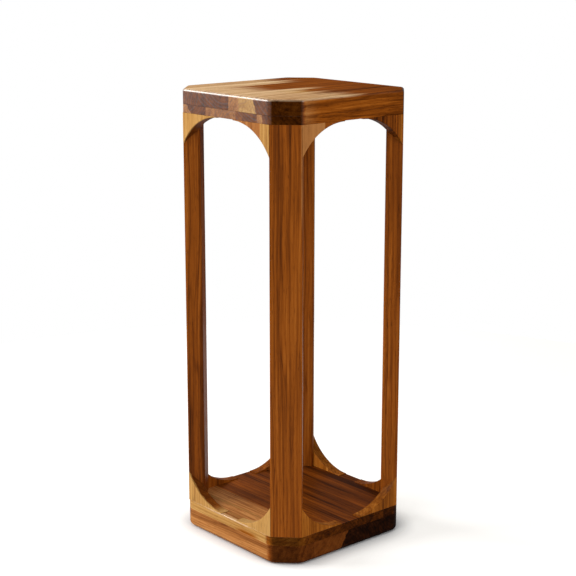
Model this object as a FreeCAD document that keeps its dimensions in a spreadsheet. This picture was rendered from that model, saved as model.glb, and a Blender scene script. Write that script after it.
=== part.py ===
"""A tall square side table of glued wood: a top slab and a base slab with cut corners, four flat legs
set across those corners, and arched brackets that join each leg to both slabs.

The frame has +Z up and its origin on the floor, under the middle of the table. The front face looks
along -Y and the left face along -X. Lengths are in millimetres.
"""
import FreeCAD, Part
import Sketcher
import math
import os

doc = FreeCAD.newDocument("side_table")
sheet = doc.addObject("Spreadsheet::Sheet", "Sizes")

SIZES = (
    ("table_side", 235.0, "width and depth of both slabs"),
    ("table_height", 614.0, "floor to the top surface"),
    ("corner_cut", 29.5, "length that each 45 degree corner cut takes off a side"),
    ("top_board_thickness", 20.5, "upper layer of the top slab"),
    ("top_plate_thickness", 11.0, "lower layer of the top slab, screwed to the legs"),
    ("shelf_plate_thickness", 12.5, "upper layer of the base slab, screwed to the legs"),
    ("base_board_thickness", 25.5, "lower layer of the base slab"),
    ("top_corner_round", 9.0, "upright edges of the top slab"),
    ("base_corner_round", 18.0, "upright edges of the base slab"),
    ("top_edge_round", 3.5, "rim of the top surface"),
    ("base_edge_round", 6.0, "rim of the underside"),
    ("layer_bevel", 0.25, "eased edges where two layers of a slab meet"),
    ("plate_ease", 0.3, "eased edges of the plates on the side of the legs"),
    ("leg_thickness", 22.5, "leg, from its outer face inwards"),
    ("leg_inner_round", 3.0, "inner upright edges of a leg"),
    ("leg_outer_ease", 0.8, "outer upright edges of a leg"),
    ("bracket_thickness", 14.0, "bracket, from its outer face inwards"),
    ("bracket_drop", 42.0, "bracket, from its slab along the leg"),
    ("bracket_gap", 33.0, "straight stretch of slab between the two brackets of a face"),
    ("bracket_toe", 1.0, "thickness that is left at the thin end of a bracket"),
    ("bracket_ease", 0.8, "eased edges along the arch"),
    ("screw_length", 45.0, "leg screw, head included"),
    ("screw_shank_diameter", 4.5, "leg screw"),
    ("screw_head_diameter", 9.0, "countersunk head at 90 degrees"),
    ("screw_tip_length", 5.0, "pointed end"),
    ("screw_socket_width", 3.0, "square drive"),
    ("screw_socket_depth", 1.8, "square drive"),
    ("leg_screw_spacing", 22.0, "between the two screws of a leg end"),
    ("bracket_dowel_diameter", 6.0, "dowel from a bracket into its plate"),
    ("bracket_dowel_wall", 2.5, "wood left between that dowel and the mitre"),
    ("bracket_dowel_depth", 10.0, "length of that dowel in the bracket"),
    ("plate_dowel_depth", 7.0, "length of that dowel in the plate"),
    ("board_dowel_diameter", 8.0, "dowel from a board into its plate"),
    ("board_dowel_offset", 45.0, "from the middle of the table, along X and along Y"),
    ("board_dowel_depth", 12.0, "length of that dowel in the board"),
    ("board_dowel_plate_depth", 8.0, "length of that dowel in the plate"),
    ("dowel_bevel", 0.8, "ends of the dowels"),
    ("pad_diameter", 24.0, "felt pad"),
    ("pad_thickness", 3.0, "felt pad"),
    ("pad_recess", 2.2, "depth that a felt pad is let into the underside"),
    ("pad_corner_inset", 24.0, "from a cut corner to the middle of its felt pad"),
    ("fit_clearance", 0.1, "between a dowel, screw or pad and its hole, on the radius"),
    ("hole_end_clearance", 0.5, "empty length at the bottom of a blind hole"),
    ("cut_overrun", 2.0, "length that a cut runs past what it cuts"),
)

# Widths of the staves as shares of the slab's side, from the front face or from the left face.
TOP_BOARD_SHARES = (0.264, 0.113, 0.087, 0.268, 0.268)
TOP_PLATE_SHARES = (0.225, 0.180, 0.260, 0.335)
SHELF_PLATE_SHARES = (0.255, 0.230, 0.280, 0.235)
BASE_BOARD_SHARES = (0.220, 0.240, 0.272, 0.268)

# Corners as the signs of their X and Y, faces as their turn about +Z from the front face.
CORNERS = {"front_left": (-1, -1), "front_right": (1, -1), "back_right": (1, 1), "back_left": (-1, 1)}
FACES = {"front": 0.0, "right": 90.0, "back": 180.0, "left": 270.0}
BRACKET_ENDS = {
    "front": ("left", "right"),
    "right": ("front", "back"),
    "back": ("right", "left"),
    "left": ("back", "front"),
}

# Places that several pieces share, written as expressions on the sheet.
HALF_SIDE = "Sizes.table_side / 2"
CORNER_MIDDLE = "(Sizes.table_side - Sizes.corner_cut) / 2"
LEG_MIDDLE = f"({CORNER_MIDDLE} - Sizes.leg_thickness / (2 * sqrt(2)))"
LEG_WIDTH = "(Sizes.corner_cut * sqrt(2))"
SCREW_STEP = "Sizes.leg_screw_spacing / (2 * sqrt(2))"
PAD_MIDDLE = f"({CORNER_MIDDLE} - Sizes.pad_corner_inset / sqrt(2))"
BASE_UNDERSIDE = "(Sizes.pad_thickness - Sizes.pad_recess)"
SHELF_UNDERSIDE = f"({BASE_UNDERSIDE} + Sizes.base_board_thickness)"
SHELF_TOP = f"({SHELF_UNDERSIDE} + Sizes.shelf_plate_thickness)"
TOP_BOARD_UNDERSIDE = "(Sizes.table_height - Sizes.top_board_thickness)"
TOP_PLATE_UNDERSIDE = f"({TOP_BOARD_UNDERSIDE} - Sizes.top_plate_thickness)"
BRACKET_REACH = "(Sizes.table_side / 2 - Sizes.corner_cut - Sizes.bracket_gap / 2)"
BRACKET_RISE = "(Sizes.bracket_drop - Sizes.bracket_toe)"
ARCH_RADIUS = f"({BRACKET_REACH} ^ 2 + {BRACKET_RISE} ^ 2) / (2 * {BRACKET_RISE})"
MITRE_MIDDLE = "Sizes.bracket_thickness / 2"
DOWEL_TO_MITRE = "sqrt(2) * (Sizes.bracket_dowel_diameter / 2 + Sizes.bracket_dowel_wall)"
BRACKET_DOWEL_INSET = f"({MITRE_MIDDLE} + {DOWEL_TO_MITRE})"

# How near two places must be to count as one, when edges and faces are picked out.
PLACE_TOLERANCE = 1e-6

subparts = []


def fill_sheet():
    for row, (name, size, meaning) in enumerate(SIZES, start=1):
        sheet.set(f"A{row}", name)
        sheet.set(f"B{row}", str(size))
        sheet.set(f"C{row}", meaning)
        sheet.setAlias(f"B{row}", name)
    doc.recompute()


def size_of(expression):
    return float(sheet.evalExpression(expression))


def plane_of(body, role):
    return next(feature for feature in body.Origin.OriginFeatures if feature.Role == role)


def new_body(label):
    return doc.addObject("PartDesign::Body", label)


def new_sketch(body, name, role="XY_Plane", height=None):
    """Makes a sketch on one of the body's own planes, raised by the expression height."""
    sketch = body.newObject("Sketcher::SketchObject", name)
    sketch.AttachmentSupport = (plane_of(body, role), [""])
    sketch.MapMode = "FlatFace"
    if height is not None:
        sketch.setExpression("AttachmentOffset.Base.z", height)
    return sketch


def bind(sketch, constraint, name, expression):
    index = sketch.addConstraint(constraint)
    sketch.renameConstraint(index, name)
    sketch.setExpression(f"Constraints.{name}", expression)


def pin_point(sketch, geometry, point, name, across, along):
    """Ties a point of the sketch to two expressions. None keeps it on that axis."""
    axis_x = -1
    axis_y = -2
    root = 1
    if across is None:
        sketch.addConstraint(Sketcher.Constraint("PointOnObject", geometry, point, axis_y))
    else:
        distance = Sketcher.Constraint("DistanceX", axis_x, root, geometry, point, size_of(across))
        bind(sketch, distance, f"{name}_across", across)
    if along is None:
        sketch.addConstraint(Sketcher.Constraint("PointOnObject", geometry, point, axis_x))
    else:
        distance = Sketcher.Constraint("DistanceY", axis_x, root, geometry, point, size_of(along))
        bind(sketch, distance, f"{name}_along", along)


def sketch_point(across, along):
    x = 0.0 if across is None else size_of(across)
    y = 0.0 if along is None else size_of(along)
    return FreeCAD.Vector(x, y, 0)


def draw_polygon(sketch, corners):
    """Draws straight lines round the corners, each a pair of expressions."""
    points = [sketch_point(*corner) for corner in corners]
    lines = []
    for start, end in zip(points, points[1:] + points[:1]):
        lines.append(sketch.addGeometry(Part.LineSegment(start, end)))
    for line, following in zip(lines, lines[1:] + lines[:1]):
        sketch.addConstraint(Sketcher.Constraint("Coincident", line, 2, following, 1))
    for number, (line, corner) in enumerate(zip(lines, corners), start=1):
        pin_point(sketch, line, 1, f"corner_{number}", *corner)


def draw_circles(sketch, centres, radius):
    for number, centre in enumerate(centres, start=1):
        circle = Part.Circle(sketch_point(*centre), FreeCAD.Vector(0, 0, 1), size_of(radius))
        geometry = sketch.addGeometry(circle)
        pin_point(sketch, geometry, 3, f"hole_{number}", *centre)
        ring = Sketcher.Constraint("Radius", geometry, size_of(radius))
        bind(sketch, ring, f"hole_{number}_size", radius)


def pad(body, name, sketch, length, reverse=False):
    feature = body.newObject("PartDesign::Pad", name)
    feature.Profile = sketch
    feature.Reversed = reverse
    feature.setExpression("Length", length)
    doc.recompute()
    return feature


def pocket(body, name, sketch, depth=None, reverse=False):
    """Cuts the sketch out of the body, to a depth or right through, and makes sure that it cut."""
    volume_before = body.Shape.Volume
    feature = body.newObject("PartDesign::Pocket", name)
    feature.Profile = sketch
    feature.Reversed = reverse
    if depth is None:
        feature.Type = "ThroughAll"
    else:
        feature.setExpression("Length", depth)
    doc.recompute()
    if not body.Shape.Volume < volume_before:
        raise RuntimeError(f"{body.Label}: {name} cut nothing")
    return feature


def dress(body, kind, name, base, elements, measure, expression):
    """Adds a fillet or a chamfer on the named edges or faces of the base feature."""
    feature = body.newObject(kind, name)
    feature.Base = (base, elements)
    feature.setExpression(measure, expression)
    doc.recompute()
    return feature


def fillet(body, name, base, elements, radius):
    return dress(body, "PartDesign::Fillet", name, base, elements, "Radius", radius)


def chamfer(body, name, base, elements, width):
    return dress(body, "PartDesign::Chamfer", name, base, elements, "Size", width)


def edges_where(feature, wanted):
    edges = enumerate(feature.Shape.Edges, start=1)
    return [f"Edge{number}" for number, edge in edges if wanted(edge)]


def same_place(first, second):
    return math.isclose(first, second, abs_tol=PLACE_TOLERANCE)


def is_upright(edge):
    first = edge.Vertexes[0].Point
    last = edge.Vertexes[-1].Point
    return same_place(first.x, last.x) and same_place(first.y, last.y)


def end_face(feature, top):
    """Names the body's highest or lowest flat face, as its faces are numbered."""
    box = feature.Shape.BoundBox
    level = box.ZMax if top else box.ZMin
    for number, face in enumerate(feature.Shape.Faces, start=1):
        if same_place(face.BoundBox.ZMin, level) and same_place(face.BoundBox.ZMax, level):
            return f"Face{number}"
    raise RuntimeError(f"{feature.Label} has no flat end")


def place(piece, across, along, height, turn=None):
    """Sets where a piece stands, from expressions, with an optional turn."""
    piece.Placement = FreeCAD.Placement(FreeCAD.Vector(0, 0, 0), turn or FreeCAD.Rotation())
    piece.setExpression("Placement.Base.x", across)
    piece.setExpression("Placement.Base.y", along)
    piece.setExpression("Placement.Base.z", height)


def turn_about_z(degrees):
    return FreeCAD.Rotation(FreeCAD.Vector(0, 0, 1), degrees)


def upside_down():
    return FreeCAD.Rotation(FreeCAD.Vector(0, 1, 0), 180)


def signed(sign, expression):
    return f"{sign} * ({expression})"


def corner_points(middle):
    return [(signed(x, middle), signed(y, middle)) for x, y in CORNERS.values()]


def leg_screw_points():
    """Gives the two screw places of every leg, on either side of the leg's middle."""
    points = []
    for x, y in CORNERS.values():
        for side in (-1, 1):
            across = f"{signed(x, LEG_MIDDLE)} + {signed(-side * y, SCREW_STEP)}"
            along = f"{signed(y, LEG_MIDDLE)} + {signed(side * x, SCREW_STEP)}"
            points.append((across, along))
    return points


def bracket_dowel_points():
    """Gives the dowel places of the eight brackets of one slab, two on each face."""
    beside = f"({HALF_SIDE} - Sizes.corner_cut - {BRACKET_DOWEL_INSET})"
    inward = f"({HALF_SIDE} - {MITRE_MIDDLE})"
    points = []
    for x, y in CORNERS.values():
        points.append((signed(x, beside), signed(y, inward)))
        points.append((signed(x, inward), signed(y, beside)))
    return points


def board_dowel_points():
    return corner_points("Sizes.board_dowel_offset")


def slab_layer(label, thickness, height, corner_round):
    """Makes one layer of a slab in a single piece: a square with cut and rounded corners."""
    body = new_body(label)
    outline = new_sketch(body, f"{label}_outline")
    low = signed(-1, HALF_SIDE)
    draw_polygon(outline, [(low, low), (HALF_SIDE, low), (HALF_SIDE, HALF_SIDE), (low, HALF_SIDE)])
    square = pad(body, f"{label}_square", outline, thickness)
    upright = edges_where(square, is_upright)
    cut = chamfer(body, f"{label}_corner_cuts", square, upright, "Sizes.corner_cut")
    upright = edges_where(cut, is_upright)
    layer = fillet(body, f"{label}_corner_rounds", cut, upright, corner_round)
    place(body, "0", "0", height)
    return body, layer


def drill(body, name, points, diameter, height, depth=None, upward=False):
    """Drills holes of a loose fit for pins of that diameter, from a level of the body."""
    sketch = new_sketch(body, f"{name}_places", height=height)
    draw_circles(sketch, points, f"({diameter} / 2 + Sizes.fit_clearance)")
    if depth is not None:
        depth = f"{depth} + Sizes.hole_end_clearance"
    return pocket(body, name, sketch, depth, reverse=upward)


def countersink(body, name, base, height):
    """Opens the screw holes out to the size of the heads, at one level of the body."""
    level = size_of(height)
    radius = size_of("Sizes.screw_shank_diameter / 2 + Sizes.fit_clearance")

    def is_rim(edge):
        if not isinstance(edge.Curve, Part.Circle):
            return False
        return same_place(edge.Curve.Center.z, level) and same_place(edge.Curve.Radius, radius)

    head_step = "(Sizes.screw_head_diameter - Sizes.screw_shank_diameter) / 2"
    return chamfer(body, name, base, edges_where(base, is_rim), head_step)


def make_top_board():
    body, layer = slab_layer(
        "top_board", "Sizes.top_board_thickness", TOP_BOARD_UNDERSIDE, "Sizes.top_corner_round"
    )
    rim = fillet(body, "top_rim", layer, [end_face(layer, True)], "Sizes.top_edge_round")
    chamfer(body, "top_board_bevel", rim, [end_face(rim, False)], "Sizes.layer_bevel")
    drill(
        body,
        "top_board_dowel_holes",
        board_dowel_points(),
        "Sizes.board_dowel_diameter",
        "0",
        "Sizes.board_dowel_depth",
        upward=True,
    )
    return body


def make_top_plate():
    thickness = "Sizes.top_plate_thickness"
    body, layer = slab_layer("top_plate", thickness, TOP_PLATE_UNDERSIDE, "Sizes.top_corner_round")
    bevel = chamfer(body, "top_plate_bevel", layer, [end_face(layer, True)], "Sizes.layer_bevel")
    chamfer(body, "top_plate_ease", bevel, [end_face(bevel, False)], "Sizes.plate_ease")
    shank = "Sizes.screw_shank_diameter"
    holes = drill(body, "top_plate_screw_holes", leg_screw_points(), shank, thickness)
    countersink(body, "top_plate_countersinks", holes, thickness)
    drill(
        body,
        "top_plate_board_dowel_holes",
        board_dowel_points(),
        "Sizes.board_dowel_diameter",
        thickness,
        "Sizes.board_dowel_plate_depth",
    )
    drill(
        body,
        "top_plate_bracket_dowel_holes",
        bracket_dowel_points(),
        "Sizes.bracket_dowel_diameter",
        "0",
        "Sizes.plate_dowel_depth",
        upward=True,
    )
    return body


def make_shelf_plate():
    thickness = "Sizes.shelf_plate_thickness"
    body, layer = slab_layer("shelf_plate", thickness, SHELF_UNDERSIDE, "Sizes.base_corner_round")
    bevel = chamfer(body, "shelf_plate_bevel", layer, [end_face(layer, False)], "Sizes.layer_bevel")
    chamfer(body, "shelf_plate_ease", bevel, [end_face(bevel, True)], "Sizes.plate_ease")
    shank = "Sizes.screw_shank_diameter"
    holes = drill(body, "shelf_plate_screw_holes", leg_screw_points(), shank, "0", upward=True)
    countersink(body, "shelf_plate_countersinks", holes, "0")
    drill(
        body,
        "shelf_plate_board_dowel_holes",
        board_dowel_points(),
        "Sizes.board_dowel_diameter",
        "0",
        "Sizes.board_dowel_plate_depth",
        upward=True,
    )
    drill(
        body,
        "shelf_plate_bracket_dowel_holes",
        bracket_dowel_points(),
        "Sizes.bracket_dowel_diameter",
        thickness,
        "Sizes.plate_dowel_depth",
    )
    return body


def make_base_board():
    thickness = "Sizes.base_board_thickness"
    body, layer = slab_layer("base_board", thickness, BASE_UNDERSIDE, "Sizes.base_corner_round")
    rim = fillet(body, "base_rim", layer, [end_face(layer, False)], "Sizes.base_edge_round")
    chamfer(body, "base_board_bevel", rim, [end_face(rim, True)], "Sizes.layer_bevel")
    drill(
        body,
        "base_board_dowel_holes",
        board_dowel_points(),
        "Sizes.board_dowel_diameter",
        thickness,
        "Sizes.board_dowel_depth",
    )
    recesses = new_sketch(body, "pad_recess_places")
    draw_circles(recesses, corner_points(PAD_MIDDLE), "(Sizes.pad_diameter / 2 + Sizes.fit_clearance)")
    pocket(body, "pad_recesses", recesses, "Sizes.pad_recess", reverse=True)
    return body


def split_into_staves(layer, prefix, shares, underside, along_x):
    """Cuts a slab layer into staves that run along X or along Y, each a sub-part of its own."""
    overrun = "Sizes.cut_overrun"
    before = 0.0
    for number, share in enumerate(shares, start=1):
        first = number == 1
        last = number == len(shares)
        strip = doc.addObject("Part::Box", f"{prefix}_{number}_strip")
        start = f"Sizes.table_side * {before:.4f} - {HALF_SIDE}"
        width = f"Sizes.table_side * {share}"
        if first:
            start = f"{start} - {overrun}"
        if first or last:
            width = f"{width} + {overrun}"
        run_start = f"-{HALF_SIDE} - {overrun}"
        run_length = f"Sizes.table_side + 2 * {overrun}"
        strip.setExpression("Length", run_length if along_x else width)
        strip.setExpression("Width", width if along_x else run_length)
        strip.setExpression("Height", f"Sizes.{layer.Name}_thickness + 2 * {overrun}")
        across, along = (run_start, start) if along_x else (start, run_start)
        place(strip, across, along, f"{underside} - {overrun}")
        stave = doc.addObject("Part::Common", f"{prefix}_{number}")
        stave.Base = layer
        stave.Tool = strip
        subparts.append(stave)
        before = before + share


def make_slabs():
    top_board = make_top_board()
    top_plate = make_top_plate()
    shelf_plate = make_shelf_plate()
    base_board = make_base_board()
    split_into_staves(top_board, "top_stave", TOP_BOARD_SHARES, TOP_BOARD_UNDERSIDE, along_x=True)
    split_into_staves(top_plate, "top_plate_stave", TOP_PLATE_SHARES, TOP_PLATE_UNDERSIDE, along_x=True)
    split_into_staves(shelf_plate, "shelf_stave", SHELF_PLATE_SHARES, SHELF_UNDERSIDE, along_x=False)
    split_into_staves(base_board, "base_stave", BASE_BOARD_SHARES, BASE_UNDERSIDE, along_x=False)


def make_leg(corner):
    """Makes a leg with its outer face in the plane of a cut corner, drilled at both ends."""
    x, y = CORNERS[corner]
    label = f"leg_{corner}"
    length = f"({TOP_PLATE_UNDERSIDE} - {SHELF_TOP})"
    half_width = f"{LEG_WIDTH} / 2"
    other_half = signed(-1, half_width)
    inside = "-Sizes.leg_thickness"
    body = new_body(label)
    section = new_sketch(body, f"{label}_section")
    draw_polygon(
        section, [(other_half, inside), (half_width, inside), (half_width, None), (other_half, None)]
    )
    blank = pad(body, f"{label}_blank", section, length)

    def is_outer(edge):
        return is_upright(edge) and same_place(edge.CenterOfMass.y, 0)

    def is_inner(edge):
        return is_upright(edge) and same_place(edge.CenterOfMass.y, size_of(inside))

    outer = edges_where(blank, is_outer)
    eased = fillet(body, f"{label}_outer_eases", blank, outer, "Sizes.leg_outer_ease")
    inner = edges_where(eased, is_inner)
    fillet(body, f"{label}_inner_rounds", eased, inner, "Sizes.leg_inner_round")
    half_spacing = "Sizes.leg_screw_spacing / 2"
    row = "-Sizes.leg_thickness / 2"
    places = [(signed(-1, half_spacing), row), (half_spacing, row)]
    shank = "Sizes.screw_shank_diameter"
    upper_depth = "Sizes.screw_length - Sizes.top_plate_thickness"
    lower_depth = "Sizes.screw_length - Sizes.shelf_plate_thickness"
    drill(body, f"{label}_upper_holes", places, shank, length, upper_depth)
    drill(body, f"{label}_lower_holes", places, shank, "0", lower_depth, upward=True)
    outward = math.degrees(math.atan2(y, x))
    outward_as_drawn = 90.0
    turn = turn_about_z(outward - outward_as_drawn)
    place(body, signed(x, CORNER_MIDDLE), signed(y, CORNER_MIDDLE), SHELF_TOP, turn)
    subparts.append(body)


def draw_arch(sketch, hand):
    """Draws a bracket's face under its slab: two straight sides and the arch between their ends."""
    reach = signed(hand, BRACKET_REACH)
    toe = "-Sizes.bracket_toe"
    drop = "-Sizes.bracket_drop"
    centre_height = f"-Sizes.bracket_toe - {ARCH_RADIUS}"
    root = sketch_point(None, None)
    thin_end = sketch_point(reach, None)
    toe_end = sketch_point(reach, toe)
    leg_end = sketch_point(None, drop)
    centre = sketch_point(reach, centre_height)
    towards_leg = math.atan2(leg_end.y - centre.y, leg_end.x - centre.x)
    upwards = math.pi / 2
    circle = Part.Circle(centre, FreeCAD.Vector(0, 0, 1), size_of(ARCH_RADIUS))
    arch = Part.ArcOfCircle(circle, min(towards_leg, upwards), max(towards_leg, upwards))
    arch_toe, arch_leg = (1, 2) if towards_leg > upwards else (2, 1)
    top_line = sketch.addGeometry(Part.LineSegment(root, thin_end))
    toe_line = sketch.addGeometry(Part.LineSegment(thin_end, toe_end))
    arch_line = sketch.addGeometry(arch)
    leg_line = sketch.addGeometry(Part.LineSegment(leg_end, root))
    sketch.addConstraint(Sketcher.Constraint("Coincident", top_line, 2, toe_line, 1))
    sketch.addConstraint(Sketcher.Constraint("Coincident", toe_line, 2, arch_line, arch_toe))
    sketch.addConstraint(Sketcher.Constraint("Coincident", arch_line, arch_leg, leg_line, 1))
    sketch.addConstraint(Sketcher.Constraint("Coincident", leg_line, 2, top_line, 1))
    pin_point(sketch, top_line, 1, "root", None, None)
    pin_point(sketch, toe_line, 1, "thin_end", reach, None)
    pin_point(sketch, toe_line, 2, "toe_end", reach, toe)
    pin_point(sketch, leg_line, 1, "leg_end", None, drop)
    distance = Sketcher.Constraint("DistanceX", -1, 1, arch_line, 3, size_of(reach))
    bind(sketch, distance, "arch_centre", reach)


def make_bracket(label, hand):
    """Makes a bracket that hangs from its slab and reaches along +X, or along -X for a hand of -1.

    Its outer face is in the XZ plane, and its mitre lies against the side of a leg.
    """
    thickness = "Sizes.bracket_thickness"
    overrun = "Sizes.cut_overrun"
    body = new_body(label)
    face = new_sketch(body, f"{label}_face", "XZ_Plane")
    draw_arch(face, hand)
    blank = pad(body, f"{label}_blank", face, thickness, reverse=True)
    radius = size_of(ARCH_RADIUS)

    def is_arch(edge):
        return isinstance(edge.Curve, Part.Circle) and same_place(edge.Curve.Radius, radius)

    fillet(body, f"{label}_eases", blank, edges_where(blank, is_arch), "Sizes.bracket_ease")
    mitre = new_sketch(body, f"{label}_mitre_line", height=overrun)
    outside = signed(-hand, overrun)
    inside = f"{thickness} + {overrun}"
    far = signed(hand, inside)
    draw_polygon(mitre, [(outside, f"-{overrun}"), (far, inside), (outside, inside)])
    pocket(body, f"{label}_mitre", mitre)
    drill(
        body,
        f"{label}_dowel_hole",
        [(signed(hand, BRACKET_DOWEL_INSET), MITRE_MIDDLE)],
        "Sizes.bracket_dowel_diameter",
        "0",
        "Sizes.bracket_dowel_depth",
    )
    return body


def place_on_face(piece, turn, end, height, flip):
    """Sets a bracket against the leg at one end of a face, end being -1 or 1 along that face."""
    radians = math.radians(turn)
    cosine = round(math.cos(radians))
    sine = round(math.sin(radians))
    beside = signed(end, f"{HALF_SIDE} - Sizes.corner_cut")
    outward = signed(-1, HALF_SIDE)
    across = f"{cosine} * ({beside}) - {sine} * ({outward})"
    along = f"{sine} * ({beside}) + {cosine} * ({outward})"
    rotation = turn_about_z(turn)
    if flip:
        rotation = rotation.multiply(upside_down())
    place(piece, across, along, height, rotation)


def make_brackets():
    for face, turn in FACES.items():
        for end, end_name in zip((-1, 1), BRACKET_ENDS[face]):
            upper = make_bracket(f"upper_bracket_{face}_{end_name}", -end)
            place_on_face(upper, turn, end, TOP_PLATE_UNDERSIDE, False)
            lower = make_bracket(f"lower_bracket_{face}_{end_name}", end)
            place_on_face(lower, turn, end, SHELF_TOP, True)
            subparts.append(upper)
            subparts.append(lower)


def make_screw():
    """Makes one countersunk wood screw that points down from the level of its head."""
    shank = "Sizes.screw_shank_diameter / 2"
    head = "Sizes.screw_head_diameter / 2"
    under_head = f"{shank} - {head}"
    tip_start = "Sizes.screw_tip_length - Sizes.screw_length"
    tip = "-Sizes.screw_length"
    body = new_body("leg_screw")
    profile = new_sketch(body, "leg_screw_profile", "XZ_Plane")
    head_points = [(None, None), (head, None), (shank, under_head)]
    draw_polygon(profile, head_points + [(shank, tip_start), (None, tip)])
    turned = body.newObject("PartDesign::Revolution", "leg_screw_turned")
    turned.Profile = profile
    turned.ReferenceAxis = (profile, ["V_Axis"])
    turned.Angle = 360.0
    doc.recompute()
    socket = new_sketch(body, "leg_screw_socket_outline")
    half = "Sizes.screw_socket_width / 2"
    other = signed(-1, half)
    draw_polygon(socket, [(other, other), (half, other), (half, half), (other, half)])
    pocket(body, "leg_screw_socket", socket, "Sizes.screw_socket_depth")
    return body


def make_dowel(label, diameter, length):
    """Makes one dowel that stands on the XY plane, bevelled at both ends."""
    body = new_body(label)
    circle = new_sketch(body, f"{label}_section")
    draw_circles(circle, [(None, None)], f"{diameter} / 2")
    pin = pad(body, f"{label}_pin", circle, length)
    ends = [end_face(pin, True), end_face(pin, False)]
    chamfer(body, f"{label}_bevels", pin, ends, "Sizes.dowel_bevel")
    return body


def make_group(label, master, points, height, turn=None):
    """Repeats a fastener at each of the points, as separate solids of one sub-part."""
    copies = []
    for number, (across, along) in enumerate(points, start=1):
        copy = doc.addObject("App::Link", f"{label}_{number}")
        copy.LinkedObject = master
        place(copy, across, along, height, turn)
        copies.append(copy)
    group = doc.addObject("Part::Compound", label)
    group.Links = copies
    subparts.append(group)


def make_fasteners():
    screw = make_screw()
    make_group("upper_leg_screws", screw, leg_screw_points(), TOP_BOARD_UNDERSIDE)
    make_group("lower_leg_screws", screw, leg_screw_points(), SHELF_UNDERSIDE, upside_down())
    bracket_length = "Sizes.bracket_dowel_depth + Sizes.plate_dowel_depth"
    bracket_dowel = make_dowel("bracket_dowel", "Sizes.bracket_dowel_diameter", bracket_length)
    upper_start = f"{TOP_PLATE_UNDERSIDE} - Sizes.bracket_dowel_depth"
    lower_start = f"{SHELF_TOP} - Sizes.plate_dowel_depth"
    make_group("upper_bracket_dowels", bracket_dowel, bracket_dowel_points(), upper_start)
    make_group("lower_bracket_dowels", bracket_dowel, bracket_dowel_points(), lower_start)
    board_length = "Sizes.board_dowel_depth + Sizes.board_dowel_plate_depth"
    board_dowel = make_dowel("board_dowel", "Sizes.board_dowel_diameter", board_length)
    top_start = f"{TOP_BOARD_UNDERSIDE} - Sizes.board_dowel_plate_depth"
    base_start = f"{SHELF_UNDERSIDE} - Sizes.board_dowel_depth"
    make_group("top_board_dowels", board_dowel, board_dowel_points(), top_start)
    make_group("base_board_dowels", board_dowel, board_dowel_points(), base_start)


def make_felt_pads():
    for corner, (x, y) in CORNERS.items():
        felt = doc.addObject("Part::Cylinder", f"felt_pad_{corner}")
        felt.setExpression("Radius", "Sizes.pad_diameter / 2")
        felt.setExpression("Height", "Sizes.pad_thickness")
        place(felt, signed(x, PAD_MIDDLE), signed(y, PAD_MIDDLE), "0")
        subparts.append(felt)


def check_document():
    for item in doc.Objects:
        if "Invalid" in item.State or "Error" in item.State:
            raise RuntimeError(f"{item.Label} failed: {item.State}")
    for piece in subparts:
        if piece.Shape.isNull() or not piece.Shape.isValid():
            raise RuntimeError(f"{piece.Label} has no valid shape")


def write_parts():
    os.makedirs("parts", exist_ok=True)
    for piece in subparts:
        piece.Shape.exportStep(f"parts/{piece.Label}.step")


fill_sheet()
make_slabs()
for corner_name in CORNERS:
    make_leg(corner_name)
make_brackets()
make_fasteners()
make_felt_pads()
doc.recompute()
check_document()
write_parts()
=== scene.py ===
"""The finish of a tall wooden side table: its lacquered staves, legs and brackets, and its felt pads.

Every wooden piece has a timber of its own, figured right through: growth rings about a heart that runs
along the grain, with bands, veins, fibres and pores. A piece may hold patches of other woods, which end
at border planes where the heartwood ends or where two strips are glued; some patches are painted sheen,
painted highlights or painted shade instead. Lengths are metres in the frame
of the part: the front face looks along -Y and the left face along -X.
"""
import math
from dataclasses import dataclass, field

import bmesh
import bpy
from mathutils import Euler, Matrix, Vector


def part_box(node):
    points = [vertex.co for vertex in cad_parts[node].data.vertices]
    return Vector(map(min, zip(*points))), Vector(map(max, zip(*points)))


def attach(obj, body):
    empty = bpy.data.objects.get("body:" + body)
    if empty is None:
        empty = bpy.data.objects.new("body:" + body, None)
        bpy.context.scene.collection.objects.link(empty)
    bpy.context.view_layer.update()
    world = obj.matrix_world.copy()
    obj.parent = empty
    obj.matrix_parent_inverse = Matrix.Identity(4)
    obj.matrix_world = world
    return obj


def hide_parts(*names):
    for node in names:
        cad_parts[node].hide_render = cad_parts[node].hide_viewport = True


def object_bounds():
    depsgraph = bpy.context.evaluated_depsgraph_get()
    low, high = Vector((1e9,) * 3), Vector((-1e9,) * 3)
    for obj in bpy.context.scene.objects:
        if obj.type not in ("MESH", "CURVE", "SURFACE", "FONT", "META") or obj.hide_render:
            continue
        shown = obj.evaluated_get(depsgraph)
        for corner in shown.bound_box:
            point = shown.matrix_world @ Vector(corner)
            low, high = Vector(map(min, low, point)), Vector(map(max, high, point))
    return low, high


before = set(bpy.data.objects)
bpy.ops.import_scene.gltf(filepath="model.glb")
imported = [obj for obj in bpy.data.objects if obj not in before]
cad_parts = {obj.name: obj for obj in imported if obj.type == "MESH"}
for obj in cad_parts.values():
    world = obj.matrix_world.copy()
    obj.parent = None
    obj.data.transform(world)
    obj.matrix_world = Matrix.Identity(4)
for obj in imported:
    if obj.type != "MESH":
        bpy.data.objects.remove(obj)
solid_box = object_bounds()

MM = 0.001

# The faces of the table that the borders between its woods are measured from.
LEFT = solid_box[0].x
FRONT = solid_box[0].y
TOP = solid_box[1].z
PLATE_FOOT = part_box("top_plate_stave_1")[0].z
SHELF_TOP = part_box("shelf_stave_1")[1].z
BASE_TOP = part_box("base_stave_1")[1].z


def paint(red, green, blue):
    """Turns a colour as a screen shows it, 0 to 255, into the linear values that a shader takes."""
    channels = []
    for level in (red, green, blue):
        share = level / 255
        channels.append(share / 12.92 if share <= 0.04045 else ((share + 0.055) / 1.055) ** 2.4)
    return (*channels, 1.0)


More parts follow.
